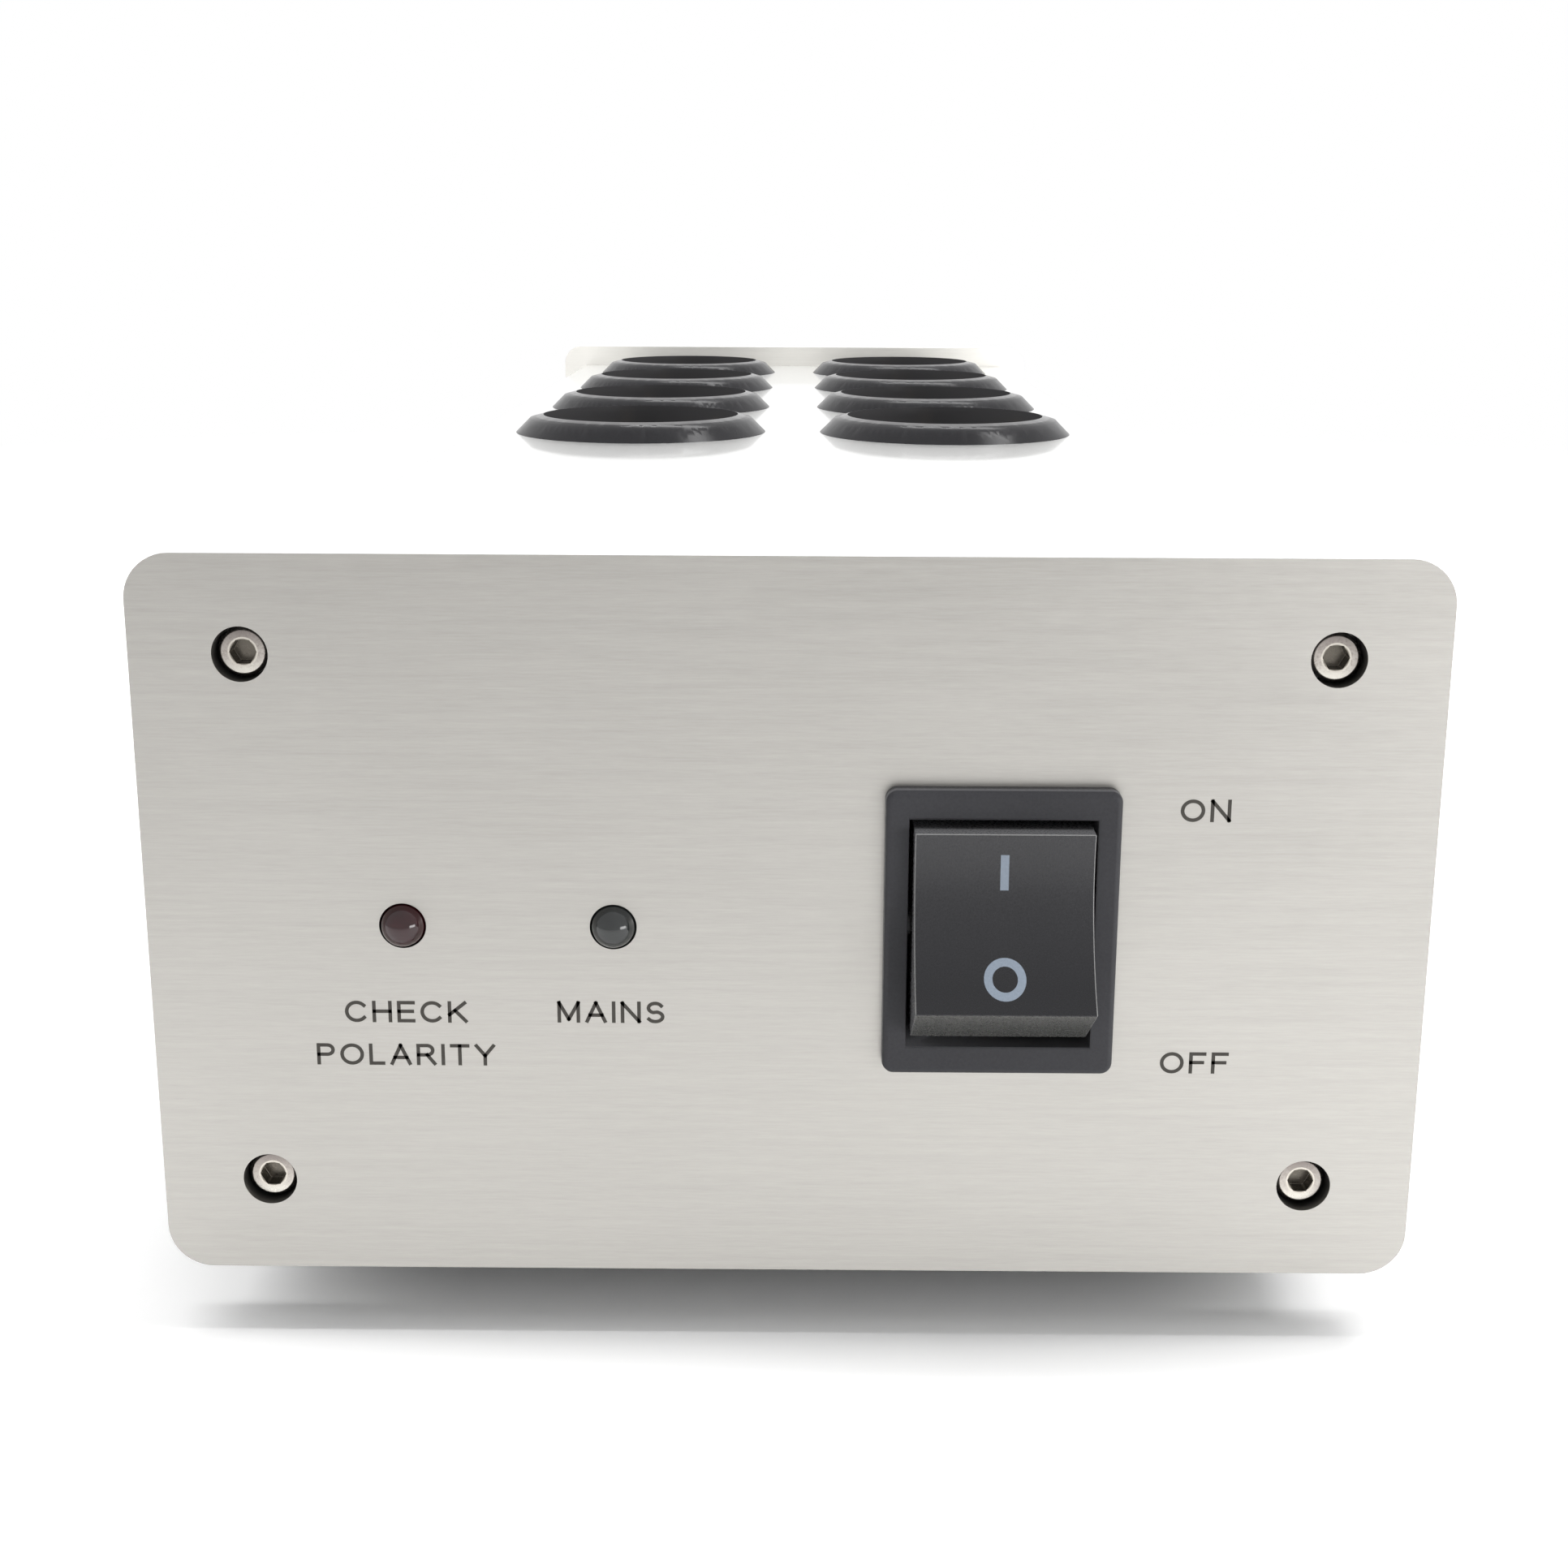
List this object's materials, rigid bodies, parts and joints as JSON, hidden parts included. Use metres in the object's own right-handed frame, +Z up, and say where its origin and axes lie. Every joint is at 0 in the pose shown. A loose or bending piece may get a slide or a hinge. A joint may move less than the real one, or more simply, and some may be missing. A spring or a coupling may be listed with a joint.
{
  "type": "power conditioner",
  "caption": "Long aluminium mains power conditioner: thick front plate with a rocker switch and indicator lamps, recessed earthed outlets on top, inlet and reset breaker behind.",
  "frame": {"origin": "middle of the bounding box's underside, on the surface the feet stand on", "axes": "+X to the right seen from the front, +Y from the front panel to the rear panel, +Z up"},
  "size_m": [0.14, 0.4266, 0.09],
  "materials": {
    "panel_metal": "horizontally brushed warm light grey aluminium",
    "case_metal": "satin natural anodised",
    "screw_metal": "plain steel, slightly dull",
    "zinc": "bright zinc plate",
    "foot_rubber": "matt black rubber",
    "outlet_plastic": "black moulded plastic with a soft sheen",
    "base_plastic": "cream thermoset",
    "contact_brass": "plain brass",
    "busbar_copper": "bare copper",
    "switch_plastic": "black nylon with a soft sheen",
    "spring_steel": "bright spring steel",
    "plunger_plastic": "natural nylon",
    "contact_copper": "silver-faced copper alloy",
    "lamp_red": "dark red lens, unlit",
    "lamp_dark": "dark grey-green lens, unlit",
    "board_green": "green circuit board",
    "spacer_nylon": "natural nylon",
    "inlet_plastic": "black moulded plastic",
    "pin_metal": "nickel plate",
    "breaker_plastic": "black moulded plastic",
    "button_red": "red moulded plastic",
    "ferrite": "coated ferrite",
    "winding_copper": "enamelled copper",
    "capacitor_case": "yellow moulded case",
    "varistor_blue": "blue epoxy coat",
    "live_sheath": "brown sheath",
    "neutral_sheath": "blue sheath",
    "earth_sheath": "green and yellow sheath"
  },
  "bodies": {
    "unit": {"front_panel": "panel_metal", "rear_panel": "panel_metal", "case_top": "case_metal", "case_bottom": "case_metal", "front_panel_screws": "screw_metal", "rear_panel_screws": "screw_metal", "foot_front_left": "foot_rubber", "foot_front_right": "foot_rubber", "foot_rear_left": "foot_rubber", "foot_rear_right": "foot_rubber", "foot_screws": "zinc", "foot_nuts": "zinc", "outlet_1": "outlet_plastic", "outlet_2": "outlet_plastic", "outlet_3": "outlet_plastic", "outlet_4": "outlet_plastic", "outlet_5": "outlet_plastic", "outlet_6": "outlet_plastic", "outlet_7": "outlet_plastic", "outlet_8": "outlet_plastic", "outlet_base_1": "base_plastic", "outlet_base_2": "base_plastic", "outlet_base_3": "base_plastic", "outlet_base_4": "base_plastic", "outlet_base_5": "base_plastic", "outlet_base_6": "base_plastic", "outlet_base_7": "base_plastic", "outlet_base_8": "base_plastic", "earth_clips": "contact_brass", "live_contacts": "contact_brass", "neutral_contacts": "contact_brass", "outlet_screws": "screw_metal", "live_busbar": "busbar_copper", "neutral_busbar": "busbar_copper", "earth_busbar": "busbar_copper", "switch_housing": "switch_plastic", "switch_terminals": "contact_copper", "lamp_left": "lamp_red", "lamp_right": "lamp_dark", "lamp_board": "board_green", "lamp_spacers": "spacer_nylon", "inlet_housing": "inlet_plastic", "inlet_pins": "pin_metal", "inlet_fasteners": "zinc", "breaker_body": "breaker_plastic", "breaker_nut": "zinc", "filter_board": "board_green", "board_standoffs": "spacer_nylon", "choke_cores": "ferrite", "choke_windings": "winding_copper", "film_capacitors": "capacitor_case", "varistors": "varistor_blue", "live_wires": "live_sheath", "neutral_wires": "neutral_sheath", "earth_wires": "earth_sheath"},
    "rocker": {"switch_rocker": "switch_plastic", "switch_plungers": "plunger_plastic", "switch_springs": "spring_steel"},
    "bridges": {"contact_bridges": "contact_copper"},
    "button": {"breaker_button": "button_red"}
  },
  "joints": [
    {"name": "rocker_tilt", "type": "hinge", "parent": "unit", "child": "rocker", "pos_m": [0.0231, -0.2011, 0.049], "axis": [1, 0, 0], "range_deg": [0, 35]},
    {"name": "bridge_rock", "type": "hinge", "parent": "unit", "child": "bridges", "pos_m": [0.0231, -0.1897, 0.049], "axis": [1, 0, 0], "range_deg": [-14, 0]},
    {"name": "breaker_button_slide", "type": "slide", "parent": "unit", "child": "button", "axis": [0, 1, 0], "range_m": [0, 0.003]}
  ],
  "couplings": [
    {"joint": "bridge_rock", "follows": "rocker_tilt", "ratio": -0.4}
  ]
}
